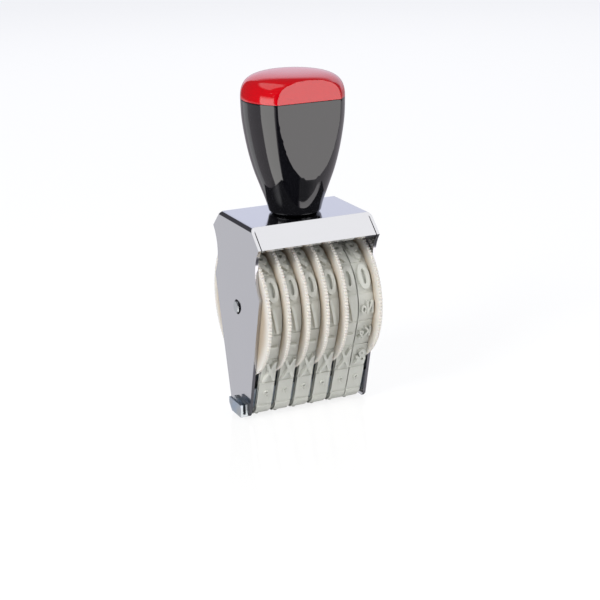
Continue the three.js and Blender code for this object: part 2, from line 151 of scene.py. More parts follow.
class StampBandSizes(bpy.types.PropertyGroup):
    """Sizes of a rubber band and its raised type."""

    thickness: length("Thickness", "Rubber under the type", 1.95 * MM)
    neutral_depth: length("Neutral depth", "Depth of the fabric that can't stretch", 1.1 * MM)
    relief: length("Relief", "Height of the type above its cell", 0.7 * MM)
    foot_bend: length("Foot bend", "Radius of the cells' face at the foot's corners", 3.3 * MM)
    foot_flat: length("Foot flat", "Half of the flat run under the foot", 3.6 * MM)
    crease_depth: length("Crease depth", "Half depth of the foot's upper bend", 5.2 * MM)
    crease_rise: length("Crease rise", "Height of the upper bend above the lower", 1.2 * MM)
    sink: length("Sink", "Fall of the cells' face below the type's roots", 0.5 * MM)
    groove: length("Groove", "Half width of the groove between cells", 0.42 * MM)
    groove_depth: length("Groove depth", "Depth of the groove between cells", 0.3 * MM)
    pad_edge: length("Cell edge", "Rounding of each cell's edges", 0.12 * MM)
    type_height: length("Type height", "Height of the digits", 8.0 * MM)
    type_width: length("Type width", "Width of the digits", 4.1 * MM)
    mark_height: length("Mark height", "Height of the small size mark", 2.5 * MM)
    mark_width: length("Mark width", "Width of the small size mark", 1.7 * MM)
    mark_relief: length("Mark relief", "Relief of the small size mark", 0.5 * MM)


class StampHandleSizes(bpy.types.PropertyGroup):
    """Sizes of the grip and the cap."""

    flat: length("Flat", "Half of the depth between the two flats", 12.75 * MM)
    shoulder: length("Shoulder", "Rise of the cap's side before it turns in", 7.4 * MM)
    crown_radius: length("Crown radius", "Where the cap's top starts to turn down", 12.4 * MM)
    spigot: length("Spigot", "Radius of the cap's spigot in the grip", 9.0 * MM)
    spigot_length: length("Spigot length", "Length of the cap's spigot", 3.0 * MM)
    edge: length("Edge", "Rounding of the flats' edges", 0.22 * MM)


class StampColours(bpy.types.PropertyGroup):
    """Colours of the finishes."""

    chrome: colour("Chrome", "Plated frame", 196, 196, 200)
    zinc: colour("Zinc", "Blue-passivated bridge and fixings", 212, 218, 224)
    steel: colour("Steel", "Turned axle", 196, 200, 202)
    brass: colour("Brass", "Threaded insert", 196, 166, 98)
    ivory: colour("Ivory", "Wheel plastic", 235, 231, 224)
    rubber: colour("Rubber", "Bands", 214, 215, 208)
    black: colour("Black", "Grip plastic", 14, 14, 17)
    red: colour("Red", "Cap plastic", 208, 0, 16)
    floor: colour("Floor", "Floor", 250, 250, 250)


class StampSettings(bpy.types.PropertyGroup):
    """Everything that a user would change."""

    wheel: bpy.props.PointerProperty(type=StampWheelSizes, name="Wheel", description="Wheel sizes")
    band: bpy.props.PointerProperty(type=StampBandSizes, name="Band", description="Band sizes")
    handle: bpy.props.PointerProperty(
        type=StampHandleSizes, name="Handle", description="Handle sizes"
    )
    colours: bpy.props.PointerProperty(
        type=StampColours, name="Colours", description="Finish colours"
    )


# Shader maths and nodes.


class Socket:
    """A node's output that can be used in sums, each of which adds a Math node."""

    def __init__(self, nodes, output):
        self.nodes = nodes
        self.output = output

    def math(self, operation, *values):
        node = self.nodes.add("ShaderNodeMath", {"operation": operation})
        for slot, value in zip(node.inputs, values):
            self.nodes.feed(slot, value)
        return Socket(self.nodes, node.outputs[0])

    def __add__(self, other):
        return self.math("ADD", self, other)

    def __radd__(self, other):
        return self.math("ADD", other, self)

    def __sub__(self, other):
        return self.math("SUBTRACT", self, other)

    def __rsub__(self, other):
        return self.math("SUBTRACT", other, self)

    def __mul__(self, other):
        return self.math("MULTIPLY", self, other)

    def __rmul__(self, other):
        return self.math("MULTIPLY", other, self)

    def __truediv__(self, other):
        return self.math("DIVIDE", self, other)

    def between(self, low, high):
        """0 below low and 1 above high, smooth between them."""
        node = self.nodes.add(
            "ShaderNodeMapRange",
            {"interpolation_type": "SMOOTHSTEP"},
            {"Value": self, "From Min": low, "From Max": high},
        )
        return Socket(self.nodes, node.outputs[0])

    def window(self, low, high, soft):
        """1 from low to high, falling to 0 over the soft width outside them."""
        return self.between(low - soft, low) * (1 - self.between(high, high + soft))


class Nodes:
    """A node tree to which nodes are added by one method."""

    def __init__(self, owner):
        owner.use_nodes = True
        self.tree = owner.node_tree
        self.tree.nodes.clear()

    def add(self, kind, settings=None, sockets=None):
        """Add a node, set its settings, then give its sockets their values or links."""
        node = self.tree.nodes.new(kind)
        for name, value in (settings or {}).items():
            if name == "stops":
                for stop, (place, shade) in zip(stops_of(node, len(value)), value):
                    stop.position = place
                    stop.color = (*shade, 1.0)
            else:
                setattr(node, name, value)
        for name, value in (sockets or {}).items():
            self.feed(node.inputs[name], value)
        return node

    def feed(self, slot, value):
        if isinstance(value, Socket):
            self.tree.links.new(value.output, slot)
        elif isinstance(value, bpy.types.NodeSocket):
            self.tree.links.new(value, slot)
        else:
            slot.default_value = value

    def out(self, kind, output, settings=None, sockets=None):
        """One output of a new node, for sums or links."""
        return Socket(self, self.add(kind, settings, sockets).outputs[output])

    def place(self):
        """The point on the piece, in metres."""
        return self.out("ShaderNodeTexCoord", "Object")

    def noise(self, scale, detail=2.0, roughness=0.5, vector=None):
        """Smooth noise from 0 to 1; scale counts its lumps in a metre."""
        sockets = {"Scale": scale, "Detail": detail, "Roughness": roughness}
        sockets["Vector"] = vector or self.place()
        return self.out("ShaderNodeTexNoise", "Fac", None, sockets)

    def blend(self, share, first, second):
        """A colour that goes from first to second as share goes from 0 to 1."""
        node = self.add("ShaderNodeMix", {"data_type": "RGBA"})
        self.feed(node.inputs[0], share)
        self.feed(node.inputs[6], shade_of(first))
        self.feed(node.inputs[7], shade_of(second))
        return Socket(self, node.outputs[2])

    def bump(self, height, strength, distance):
        sockets = {"Height": height, "Strength": strength, "Distance": distance}
        return self.out("ShaderNodeBump", "Normal", None, sockets)

    def surface(self, kind, sockets):
        shader = self.add(kind, None, sockets)
        self.add("ShaderNodeOutputMaterial", None, {"Surface": shader.outputs[0]})


def stops_of(node, count):
    """The ramp's stops, as many as asked for."""
    stops = node.color_ramp.elements
    while len(stops) < count:
        stops.new(1.0)
    return stops


def shade_of(value):
    """A colour as a socket takes it, or the link as it is."""
    return value if isinstance(value, Socket) else (*value, 1.0)


def tinted(base, factor):
    """A colour times a number, or times three."""
    factors = factor if hasattr(factor, "__len__") else (factor, factor, factor)
    return tuple(value * share for value, share in zip(base, factors))


# Finishes.


def chrome_finish(colours):
    """Bright chrome over stamped steel: faint waves, wiping haze and fine scratches."""
    material = bpy.data.materials.new("chromed_steel")
    nodes = Nodes(material)
    waves = nodes.noise(90.0, 2.0)
    haze = nodes.noise(55.0, 4.0, 0.6)
    wiping = nodes.out(
        "ShaderNodeMapping", "Vector", None, {"Vector": nodes.place(), "Scale": (900.0, 900.0, 40.0)}
    )
    scratches = nodes.noise(1.0, 3.0, 0.6, wiping)
    shade = nodes.blend(haze, tinted(colours.chrome, 0.97), tinted(colours.chrome, 1.03))
    rough = 0.07 + 0.06 * haze.between(0.35, 0.75) + 0.03 * scratches
    bump = nodes.bump(waves + 0.04 * scratches, 0.05, 0.4 * MM)
    sockets = {"Base Color": shade, "Metallic": 1.0, "Roughness": rough, "Normal": bump}
    nodes.surface("ShaderNodeBsdfPrincipled", sockets)
    return material


def edge_finish(colours):
    """The sheared edge of the sheet, plated but rougher, with drag lines through its thickness."""
    material = bpy.data.materials.new("sheared_edge")
    nodes = Nodes(material)
    grain = nodes.noise(900.0, 4.0, 0.65)
    streaks = nodes.noise(260.0, 2.0)
    shade = nodes.blend(
        streaks.between(0.35, 0.7),
        tinted(colours.chrome, (0.62, 0.57, 0.5)),
        tinted(colours.chrome, 0.95),
    )
    rough = 0.42 + 0.2 * grain
    bump = nodes.bump(grain, 0.25, 0.05 * MM)
    sockets = {"Base Color": shade, "Metallic": 1.0, "Roughness": rough, "Normal": bump}
    nodes.surface("ShaderNodeBsdfPrincipled", sockets)
    return material


def zinc_finish(colours):
    """Blue-passivated zinc: cloudy blue-grey with a fine crystalline grain."""
    material = bpy.data.materials.new("zinc_plate")
    nodes = Nodes(material)
    clouds = nodes.noise(180.0, 3.0)
    grain = nodes.noise(2600.0, 2.0)
    shade = nodes.blend(
        clouds.between(0.3, 0.7),
        tinted(colours.zinc, (0.8, 0.9, 1.0)),
        tinted(colours.zinc, (1.0, 1.0, 0.96)),
    )
    rough = 0.34 + 0.16 * clouds + 0.06 * grain
    bump = nodes.bump(grain, 0.12, 0.03 * MM)
    sockets = {"Base Color": shade, "Metallic": 1.0, "Roughness": rough, "Normal": bump}
    nodes.surface("ShaderNodeBsdfPrincipled", sockets)
    return material


def turned_finish(name, base):
    """Metal turned on a lathe along X, with rings that a cutting tool leaves."""
    material = bpy.data.materials.new(name)
    nodes = Nodes(material)
    centred = nodes.out(
        "ShaderNodeMapping", "Vector", None, {"Vector": nodes.place(), "Location": (0, 0, -AXLE_Z)}
    )
    rings = nodes.out(
        "ShaderNodeTexWave",
        "Fac",
        {"wave_type": "RINGS", "rings_direction": "X"},
        {"Vector": centred, "Scale": 2200.0, "Distortion": 0.6},
    )
    stain = nodes.noise(400.0, 3.0)
    shade = nodes.blend(stain, tinted(base, 0.88), tinted(base, 1.05))
    rough = 0.18 + 0.14 * stain
    bump = nodes.bump(rings, 0.15, 0.02 * MM)
    sockets = {"Base Color": shade, "Metallic": 1.0, "Roughness": rough, "Normal": bump}
    nodes.surface("ShaderNodeBsdfPrincipled", sockets)
    return material


def ivory_finish(colours):
    """Warm off-white moulded plastic, satin and a little cloudy, with painted shade that darkens and
    browns it low on its sides.
    """
    material = bpy.data.materials.new("ivory_plastic")
    nodes = Nodes(material)
    clouds = nodes.noise(120.0, 3.0)
    grain = nodes.noise(3800.0, 2.0)
    place = nodes.add("ShaderNodeSeparateXYZ", None, {"Vector": nodes.place()})
    across = Socket(nodes, place.outputs["Y"])
    up = Socket(nodes, place.outputs["Z"]) - AXLE_Z
    square = across * across + up * up
    radius = square.math("SQRT", square)
    # Painted shade: the rims' sides darken and turn brown from 22.7 mm in to 18 mm from the axle, up
    # to 85 %, where they sink into shade beside the bands.
    depth = 1 - radius.between(18.0 * MM, 22.7 * MM)
    cloudy_ivory = nodes.blend(clouds, tinted(colours.ivory, 0.97), tinted(colours.ivory, 1.02))
    shade = nodes.blend(depth * 0.85, cloudy_ivory, tinted(colours.ivory, (0.6, 0.49, 0.36)))
    rough = 0.36 + 0.1 * clouds
    bump = nodes.bump(grain, 0.1, 0.03 * MM)
    sockets = {"Base Color": shade, "Roughness": rough, "Normal": bump}
    sockets["Subsurface Weight"] = 0.12
    sockets["Subsurface Radius"] = (1.0, 0.75, 0.5)
    sockets["Subsurface Scale"] = 0.6 * MM
    nodes.surface("ShaderNodeBsdfPrincipled", sockets)
    return material


def rubber_finish(colours):
    """Pale grey vulcanised rubber, fine-grained and almost matt, with a faint bloom."""
    material = bpy.data.materials.new("grey_rubber")
    nodes = Nodes(material)
    bloom = nodes.noise(210.0, 4.0, 0.6)
    grain = nodes.noise(4200.0, 3.0, 0.6)
    shade = nodes.blend(bloom, tinted(colours.rubber, 0.95), tinted(colours.rubber, 1.04))
    rough = 0.5 + 0.16 * bloom + 0.06 * grain
    bump = nodes.bump(grain, 0.22, 0.03 * MM)
    sockets = {"Base Color": shade, "Roughness": rough, "Normal": bump}
    nodes.surface("ShaderNodeBsdfPrincipled", sockets)
    return material


def gloss_finish(name, base):
    """Polished moulded plastic with a slight ripple and faint finger haze."""
    material = bpy.data.materials.new(name)
    nodes = Nodes(material)
    ripple = nodes.noise(140.0, 1.0)
    haze = nodes.noise(75.0, 4.0, 0.6)
    specks = nodes.noise(1500.0, 1.0).between(0.7, 0.78)
    shade = nodes.blend(haze, tinted(base, 0.94), tinted(base, 1.05))
    rough = 0.04 + 0.05 * haze.between(0.45, 0.8) + 0.08 * specks
    bump = nodes.bump(ripple, 0.04, 0.3 * MM)
    sockets = {"Base Color": shade, "Roughness": rough, "Normal": bump}
    sockets["Specular IOR Level"] = 1.0
    nodes.surface("ShaderNodeBsdfPrincipled", sockets)
    return material


# Modelling.


def pick(piece):
    """Select one object alone and make it the active one."""
    bpy.ops.object.select_all(action="DESELECT")
    piece.select_set(True)
    bpy.context.view_layer.objects.active = piece
    return piece


@contextmanager
def editing(piece):
    """Edit mode with the whole of one mesh selected."""
    pick(piece)
    bpy.ops.object.mode_set(mode="EDIT")
    bpy.ops.mesh.select_mode(type="VERT")
    bpy.ops.mesh.select_all(action="SELECT")
    yield
    bpy.ops.object.mode_set(mode="OBJECT")


def new_piece(name, mesh):
    piece = bpy.data.objects.new(name, mesh)
    bpy.context.scene.collection.objects.link(piece)
    return pick(piece)


def from_points(name, points, edges):
    mesh = bpy.data.meshes.new(name)
    mesh.from_pydata(points, edges, [])
    return new_piece(name, mesh)


def modify(piece, kind, **settings):
    """Add a modifier with its settings and apply it."""
    pick(piece)
    modifier = piece.modifiers.new(kind.lower(), kind)
    for name, value in settings.items():
        setattr(modifier, name, value)
    bpy.ops.object.modifier_apply(modifier=modifier.name)


def rounded_edges(piece, width, angle, segments=2):
    modify(
        piece,
        "BEVEL",
        width=width,
        segments=segments,
        limit_method="ANGLE",
        angle_limit=math.radians(angle),
        miter_outer="MITER_ARC",
    )


def smooth(piece, angle=32.0):
    """Smooth shading over soft edges, with flat faces kept flat beside rounded ones."""
    pick(piece)
    bpy.ops.object.shade_smooth_by_angle(angle=math.radians(angle))
    modify(piece, "WEIGHTED_NORMAL", weight=100, keep_sharp=True)


def finish(piece, material, body, node):
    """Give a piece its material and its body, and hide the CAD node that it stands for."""
    piece.data.materials.clear()
    piece.data.materials.append(material)
    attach(piece, body)
    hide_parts(node)
    return piece


def eased_corners(profile, width, closed=True):
    """A profile with each corner cut back by width along both its sides."""
    count = len(profile)
    eased = []
    for index, point in enumerate(profile):
        corner = Vector(point)
        if not closed and index in (0, count - 1):
            eased.append(corner)
            continue
        before = Vector(profile[index - 1]) - corner
        after = Vector(profile[(index + 1) % count]) - corner
        eased.append(corner + before.normalized() * min(width, before.length / 3))
        eased.append(corner + after.normalized() * min(width, after.length / 3))
    return eased


def turned(name, profile, steps, along_axle=False, closed=True):
    """Spin a profile of radii and places round the upright axis, or round the axle."""
    if along_axle:
        points = [(place, 0.0, AXLE_Z + radius) for radius, place in profile]
        centre, axis = (0.0, 0.0, AXLE_Z), (1.0, 0.0, 0.0)
    else:
        points = [(radius, 0.0, place) for radius, place in profile]
        centre, axis = (0.0, 0.0, 0.0), (0.0, 0.0, 1.0)
    edges = [(index, index + 1) for index in range(len(points) - 1)]
    if closed:
        edges.append((len(points) - 1, 0))
    piece = from_points(name, points, edges)
    with editing(piece):
        bpy.ops.mesh.spin(steps=steps, angle=FULL_TURN, center=centre, axis=axis)
        bpy.ops.mesh.select_all(action="SELECT")
        bpy.ops.mesh.remove_doubles(threshold=WELD)
        bpy.ops.mesh.select_all(action="SELECT")
        bpy.ops.mesh.normals_make_consistent(inside=False)
    return piece


def refined(name, node, edge):
    """A copy of a CAD node's mesh, welded, with its flat faces joined and its edges rounded."""
    piece = new_piece(name, frame["nodes"][node].data.copy())
    with editing(piece):
        bpy.ops.mesh.customdata_custom_splitnormals_clear()
        bpy.ops.mesh.remove_doubles(threshold=WELD)
        bpy.ops.mesh.dissolve_limited(angle_limit=math.radians(0.5))
    rounded_edges(piece, edge, 40.0)
    smooth(piece)
    return piece


def curve_through(points, steps):
    """Points of a smooth curve through the given ones."""
    knots = [Vector(point) for point in points]
    knots = [2 * knots[0] - knots[1], *knots, 2 * knots[-1] - knots[-2]]
    curve = []
    for a, b, c, d in zip(knots, knots[1:], knots[2:], knots[3:]):
        for step in range(steps):
            t = step / steps
            curve.append(
                0.5 * (2 * b + (c - a) * t + (2 * a - 5 * b + 4 * c - d) * t**2)
                + 0.5 * (3 * b - a - 3 * c + d) * t**3
            )
    return [*curve, knots[-2]]


def bezier(a, b, c, d, steps):
    """Points of a cubic curve from a to d, with handles at b and c."""
    a, b, c, d = (Vector(point) for point in (a, b, c, d))
    shares = [step / steps for step in range(steps + 1)]
    return [
        a * (1 - t) ** 3 + 3 * b * t * (1 - t) ** 2 + 3 * c * t**2 * (1 - t) + d * t**3
        for t in shares
    ]


def cut_flats(piece, half_depth):
    """Cut a flat on the front and on the back, and close the cuts."""
    for side in (-1, 1):
        with editing(piece):
            bpy.ops.mesh.bisect(
                plane_co=(0.0, side * half_depth, 0.0),
                plane_no=(0.0, side, 0.0),
                use_fill=True,
                clear_outer=True,
            )


def recalculated(piece):
    with editing(piece):
        bpy.ops.mesh.normals_make_consistent(inside=False)


# The band's way round the wheel and the foot.


class BandLoop:
    """The closed way of a band: straight runs between the circles that it bends round."""

    def __init__(self, sizes):
        self.depth = sizes.neutral_depth
        lowest = sizes.relief + sizes.foot_bend
        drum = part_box("number_band_1")[1].y - sizes.relief
        bottom = (sizes.foot_flat, lowest, sizes.foot_bend)
        crease = (sizes.crease_depth, lowest + sizes.crease_rise, sizes.foot_bend)
        front = [(-y, z, radius) for y, z, radius in (bottom, crease)]
        circles = [*front, (0.0, AXLE_Z, drum), crease, bottom]
        self.runs = []
        leaving = [
            self.leaving_angle(circle, circles[(index + 1) % len(circles)])
            for index, circle in enumerate(circles)
        ]
        for index, (y, z, radius) in enumerate(circles):
            start = leaving[index - 1]
            sweep = (start - leaving[index]) % FULL_TURN
            self.runs.append(("arc", (radius - self.depth) * sweep, (y, z, radius, start)))
            after = circles[(index + 1) % len(circles)]
            away = Vector((math.cos(leaving[index]), math.sin(leaving[index])))
            first = Vector((y, z)) + away * radius
            last = Vector(after[:2]) + away * after[2]
            self.runs.append(("line", (last - first).length, (first, last, away)))
        bottom_run = self.runs.pop()
        half = bottom_run[1] / 2
        first, last, away = bottom_run[2]
        middle = (first + last) / 2
        self.runs.insert(0, ("line", half, (middle, last, away)))
        self.runs.append(("line", half, (first, middle, away)))
        self.length = sum(run[1] for run in self.runs)

    @staticmethod
    def leaving_angle(circle, after):
        """The outward angle of the straight run from one circle to the next, clockwise."""
        along = Vector((after[0] - circle[0], after[1] - circle[1]))
        distance = along.length
        along.normalize()
        lean = (circle[2] - after[2]) / distance
        away = math.sqrt(1 - lean * lean)
        normal = Vector((along.x * lean - along.y * away, along.y * lean + along.x * away))
        return math.atan2(normal.y, normal.x)

    def place(self, way, height):
        """Y and Z of a point that stands height above the cells' face, some way along."""
        way = way % self.length if way < self.length else min(way, self.length)
        for kind, size, shape in self.runs:
            if way <= size + WELD:
                break
            way -= size
        if kind == "line":
            first, last, away = shape
            return first.lerp(last, way / size) + away * height
        y, z, radius, start = shape
        angle = start - way / (radius - self.depth)
        reach = radius + height
        return Vector((y + reach * math.cos(angle), z + reach * math.sin(angle)))


# Width and height of each character's face, as shares of a digit's; a digit's own are 1 and 1.
FACE_SHARES = {
    "X": (1.1, 0.96),
    "-": (0.7, 0.13),
    ".": (0.32, 0.16),
    "/": (0.66, 1.0),
    "1": (0.36, 1.0),
    "&": (1.0, 0.7),
    "Kg": (1.05, 0.62),
    "No": (1.05, 0.5),
}
TEXT_SIZE = 10 * MM
STROKE_GAIN = 0.3 * MM
SLOPE = 0.08 * MM
CELL_SLICES = 16


def type_solid(mark, sizes):
    """One character as a solid with sloping sides, mirrored as type is, half above the XY plane."""
    small = mark == "size"
    relief = sizes.mark_relief if small else sizes.relief
    slope = min(SLOPE, relief / 2)
    bpy.ops.object.select_all(action="DESELECT")
    bpy.ops.object.text_add()
    text = bpy.context.object
    text.data.body = "9" if small else mark
    text.data.size = TEXT_SIZE
    text.data.resolution_u = 5
    text.data.extrude = relief - slope
    text.data.bevel_depth = slope
    text.data.bevel_resolution = 0
    text.data.offset = (0.0 if small else STROKE_GAIN) - slope
    bpy.ops.object.convert(target="MESH")
    piece = bpy.context.object
    low, high = corners_of(piece.data)
    width, height = sizes.type_width, sizes.type_height
    if small:
        width, height = sizes.mark_width, sizes.mark_height
    share = FACE_SHARES.get(mark, (1.0, 1.0))
    across = -width * share[0] / (high.x - low.x)
    along = height * share[1] / (high.y - low.y)
    piece.data.transform(Matrix.Translation(-(low + high) / 2))
    piece.data.transform(Matrix.Diagonal((across, along, 1.0, 1.0)))
    if mark == ".":
        piece.data.transform(Matrix.Translation((0.0, height * (share[1] - 1) / 2, 0.0)))
    with editing(piece):
        bpy.ops.mesh.remove_doubles(threshold=WELD)
        bpy.ops.mesh.normals_make_consistent(inside=False)
    return piece


def corners_of(mesh):
    """The lowest and highest corner of a mesh."""
    points = [vertex.co for vertex in mesh.vertices]
    low = Vector([min(point[axis] for point in points) for axis in range(3)])
    high = Vector([max(point[axis] for point in points) for axis in range(3)])
    return low, high


def block(low, high, edge=0.0):
    """A box from its lowest to its highest corner, with its edges rounded."""
    size = Vector(high) - Vector(low)
    bpy.ops.mesh.primitive_cube_add(size=1.0, location=(0.0, 0.0, 0.0))
    piece = bpy.context.object
    piece.data.transform(Matrix.Diagonal((*size, 1.0)))
    piece.data.transform(Matrix.Translation(Vector(low) + size / 2))
    if edge:
        rounded_edges(piece, edge, 40.0)
    return piece


def joined(pieces):
    """Several objects as one, under the first one's name."""
    bpy.ops.object.select_all(action="DESELECT")
    for piece in pieces:
        piece.select_set(True)
    bpy.context.view_layer.objects.active = pieces[0]
    bpy.ops.object.join()
    return pieces[0]


def flat_cell(mark, sizes, width, pitch):
    """One cell of a band laid flat: X across, Y along, its type's roots on the XY plane."""
    half, end = width / 2, pitch / 2
    face = -sizes.sink
    under = -sizes.thickness
    web = block((-half, -end, under), (half, end, face - sizes.groove_depth))
    pad_end = end - sizes.groove
    pad = block((-half, -pad_end, (under + face) / 2), (half, pad_end, face), sizes.pad_edge)
    letter = type_solid(mark, sizes)
    if mark == "size":
        letter.data.transform(Matrix.Translation((0.0, 0.0, face)))
    cell = joined([web, pad, letter])
    for slice_number in range(1, CELL_SLICES):
        with editing(cell):
            bpy.ops.mesh.bisect(
                plane_co=(0.0, pitch * (slice_number / CELL_SLICES - 0.5), 0.0),
                plane_no=(0.0, 1.0, 0.0),
            )
    with editing(cell):
        bpy.ops.mesh.select_mode(type="FACE")
        bpy.ops.mesh.select_all(action="DESELECT")
        mesh = bmesh.from_edit_mesh(cell.data)
        for piece_face in mesh.faces:
            on_end = all(abs(abs(vertex.co.y) - end) < WELD for vertex in piece_face.verts)
            piece_face.select_set(on_end)
        bmesh.update_edit_mesh(cell.data)
        bpy.ops.mesh.delete(type="FACE")
    return cell


def band_mesh(name, marks, sizes, width, loop):
    """A whole band: its cells joined end to end and wrapped round the loop."""
    pitch = loop.length / len(marks)
    cells = []
    for number, mark in enumerate(marks):
        cell = flat_cell(mark, sizes, width, pitch)
        cell.data.transform(Matrix.Translation((0.0, pitch * (number + 0.5), 0.0)))
        cells.append(cell)
    band = joined(cells)
    band.name = band.data.name = name
    for vertex in band.data.vertices:
        place = loop.place(vertex.co.y, vertex.co.z)
        vertex.co = (vertex.co.x, place.x, place.y)
    with editing(band):
        bpy.ops.mesh.remove_doubles(threshold=4 * WELD)
        bpy.ops.mesh.normals_make_consistent(inside=False)
    smooth(band, 30.0)
    return band


# One operator for each piece or group of like pieces.


class StampOperator(bpy.types.Operator):
    """Builds pieces of the stamp."""

    bl_options = {"REGISTER", "UNDO"}

    def execute(self, context):
        self.build(context.scene.stamp)
        return {"FINISHED"}


class STAMP_OT_frame(StampOperator):
    """Build the bent steel frame, with its sheared edges in a finish of their own"""

    bl_idname = "stamp.frame"
    bl_label = "Frame"

    def build(self, settings):
        piece = refined("frame_sheet", "frame", 0.12 * MM)
        finish(piece, chrome_finish(settings.colours), "stamp_body", "frame")
        piece.data.materials.append(edge_finish(settings.colours))
        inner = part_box("axle")[1].x
        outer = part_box("frame")[1].x - 0.3 * MM
        for face in piece.data.polygons:
            in_sheet = inner - 0.8 * SHEET < abs(face.center.x) < outer
            if in_sheet and abs(face.normal.x) < 0.3 and face.center.z < TOP_Z - 2 * SHEET:
                face.material_index = 1


class STAMP_OT_bridge(StampOperator):
    """Build the bridge inside the bands and its hooks outside the cheeks"""

    bl_idname = "stamp.bridge"
    bl_label = "Bridge"

    def build(self, settings):
        piece = refined("bridge_channel", "foot_bridge", 0.14 * MM)
        finish(piece, zinc_finish(settings.colours), "stamp_body", "foot_bridge")


class STAMP_OT_axle(StampOperator):
    """Build the axle with its two turned-down journals"""

    bl_idname = "stamp.axle"
    bl_label = "Axle"

    def build(self, settings):
        low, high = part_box("axle")
        body = (high.z - low.z) / 2
        profile = [
            (0.0, low.x),
            (JOURNAL, low.x),
            (JOURNAL, -AXLE_SHOULDER),
            (body, -AXLE_SHOULDER),
            (body, AXLE_SHOULDER),
            (JOURNAL, AXLE_SHOULDER),
            (JOURNAL, high.x),
            (0.0, high.x),
        ]
        outline = eased_corners(profile, SOFT_EDGE, closed=False)
        piece = turned("axle_rod", outline, SMALL_STEPS, along_axle=True, closed=False)
        smooth(piece)
        material = turned_finish("axle_steel", settings.colours.steel)
        finish(piece, material, "stamp_body", "axle")


class STAMP_OT_wheels(StampOperator):
    """Build one finger wheel and copy it along the axle, the last one turned round"""

    bl_idname = "stamp.wheels"
    bl_label = "Wheels"

    def build(self, settings):
        sizes = settings.wheel
        low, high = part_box("number_wheel_1")
        width = high.x - low.x
        rim = (high.z - low.z) / 2
        first = self.wheel(sizes, rim, width)
        material = ivory_finish(settings.colours)
        for number in range(1, WHEEL_COUNT + 1):
            node = f"number_wheel_{number}"
            low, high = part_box(node)
            mesh = first.copy()
            if number == WHEEL_COUNT:
                mesh.transform(Matrix.Diagonal((-1.0, 1.0, 1.0, 1.0)))
                mesh.transform(Matrix.Translation((high.x, 0.0, 0.0)))
            else:
                mesh.transform(Matrix.Translation((low.x, 0.0, 0.0)))
            piece = new_piece(f"finger_wheel_{number}", mesh)
            if number == WHEEL_COUNT:
                recalculated(piece)
            finish(piece, material, f"wheel_{number}", node)

    def wheel(self, sizes, rim, width):
        """The mesh of a wheel that starts at X 0, with its rim there."""
        thick = sizes.rim_thickness
        corner = sizes.rim_corner
        root = rim - sizes.tooth_depth
        inner = sizes.drum_radius - sizes.drum_wall
        hub = sizes.bore + sizes.hub_wall
        floor = width - sizes.recess
        plain = eased_corners(
            [
                (sizes.drum_radius, thick),
                (sizes.drum_radius, width),
                (inner, width),
                (inner, floor),
                (hub, floor),
                (hub, width),
                (sizes.bore, width),
                (sizes.bore, 0.0),
            ],
            SOFT_EDGE,
            closed=False,
        )
        crown = [
            (root - corner, 0.0),
            (rim - corner, 0.0),
            (rim - 0.3 * corner, 0.3 * corner),
            (rim, corner),
            (rim, thick / 2),
            (rim, thick - corner),
            (rim - 0.3 * corner, thick - 0.3 * corner),
            (rim - corner, thick),
            (root - corner, thick),
        ]
        steps = sizes.tooth_count * STEPS_PER_TOOTH
        piece = turned("wheel", [*crown, *plain], steps, along_axle=True)
        for vertex in piece.data.vertices:
            arm = Vector((vertex.co.y, vertex.co.z - AXLE_Z))
            if arm.length > root - 0.5 * corner:
                turn = math.atan2(arm.x, arm.y) / FULL_TURN * sizes.tooth_count
                hollow = 1 - abs(math.sin(math.pi * turn))
                arm *= 1 - hollow * sizes.tooth_depth / arm.length
                vertex.co = (vertex.co.x, arm.x, AXLE_Z + arm.y)
        smooth(piece, 40.0)
        mesh = piece.data
        bpy.data.objects.remove(piece)
        return mesh


class STAMP_OT_bands(StampOperator):
    """Build the rubber bands: five alike and the last with its own first cells"""

    bl_idname = "stamp.bands"
    bl_label = "Bands"

    def build(self, settings):
        loop = BandLoop(settings.band)
        low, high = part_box("number_band_1")
        width = high.x - low.x
        common = band_mesh("common_band", COMMON_CELLS, settings.band, width, loop)
        last = band_mesh("last_band", LAST_CELLS, settings.band, width, loop)
        material = rubber_finish(settings.colours)
        for number in range(1, WHEEL_COUNT + 1):
            node = f"number_band_{number}"
            low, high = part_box(node)
            source = last if number == WHEEL_COUNT else common
            mesh = source.data.copy()
            mesh.transform(Matrix.Translation(((low.x + high.x) / 2, 0.0, 0.0)))
            piece = new_piece(f"type_band_{number}", mesh)
            finish(piece, material, "stamp_body", node)
        for source in (common, last):
            bpy.data.objects.remove(source)


class STAMP_OT_grip(StampOperator):
    """Build the black grip with its flats, its socket and the bore for the insert"""

    bl_idname = "stamp.grip"
    bl_label = "Grip"

    def build(self, settings):
        sizes = settings.handle
        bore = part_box("handle_insert")[1].x + INSERT_CLEARANCE
        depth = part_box("handle_screw")[1].z + MM
        socket = sizes.spigot + SPIGOT_CLEARANCE
        floor = CAP_Z - sizes.spigot_length - SPIGOT_CLEARANCE
        side = [(radius, TOP_Z + rise) for radius, rise in curve_through(GRIP_SIDE, 6)]
        profile = [
            (0.0, depth),
            (bore, depth),
            (bore, TOP_Z),
            (GRIP_FOOT[0], TOP_Z),
            *side,
            (socket, CAP_Z),
            (socket, floor),
            (0.0, floor),
        ]
        piece = turned("grip_shell", profile, HANDLE_STEPS, closed=False)
        cut_flats(piece, sizes.flat)
        rounded_edges(piece, sizes.edge, 14.0)
        smooth(piece, 30.0)
        material = gloss_finish("black_plastic", settings.colours.black)
        finish(piece, material, "stamp_body", "handle_grip")


